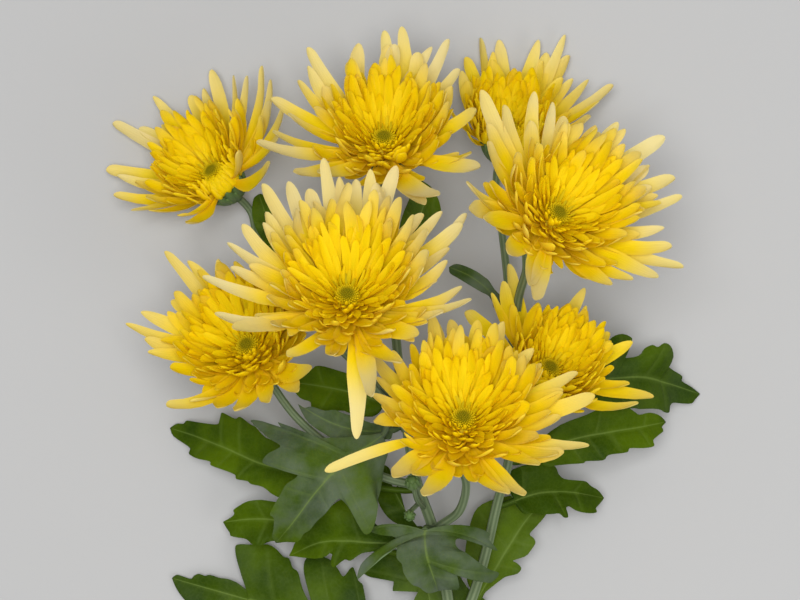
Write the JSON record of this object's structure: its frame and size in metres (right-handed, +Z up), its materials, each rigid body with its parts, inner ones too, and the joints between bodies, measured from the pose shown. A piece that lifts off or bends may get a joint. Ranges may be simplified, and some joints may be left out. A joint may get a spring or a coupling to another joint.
{
  "type": "spider chrysanthemum",
  "caption": "Cut spray of spider chrysanthemum, lying down: long channelled yellow petals round small green discs, on a branching stem with lobed leaves.",
  "frame": {"origin": "on the surface that the spray lies on, under the middle of its outline", "axes": "+Z up from the surface, +Y from the cut end of the stem towards the blooms, +X to the right as seen from above"},
  "size_m": [0.2196, 0.3257, 0.1357],
  "materials": {
    "petal": "satin",
    "disc": "matte",
    "leaf": "satin",
    "stem": "satin"
  },
  "bodies": {
    "root": {"bloom_1_centre": "disc", "bloom_1_petals": "petal", "bloom_2_centre": "disc", "bloom_2_petals": "petal", "bloom_3_centre": "disc", "bloom_3_petals": "petal", "bloom_4_centre": "disc", "bloom_4_petals": "petal", "bloom_5_centre": "disc", "bloom_5_petals": "petal", "bloom_6_centre": "disc", "bloom_6_petals": "petal", "bloom_7_centre": "disc", "bloom_7_petals": "petal", "bloom_8_centre": "disc", "bloom_8_petals": "petal", "leaf_1": "leaf", "leaf_10": "leaf", "leaf_11": "leaf", "leaf_12": "leaf", "leaf_13": "leaf", "leaf_14": "leaf", "leaf_15": "leaf", "leaf_16": "leaf", "leaf_17": "leaf", "leaf_2": "leaf", "leaf_3": "leaf", "leaf_4": "leaf", "leaf_5": "leaf", "leaf_6": "leaf", "leaf_7": "leaf", "leaf_8": "leaf", "leaf_9": "leaf", "stem": "stem"}
  },
  "joints": []
}
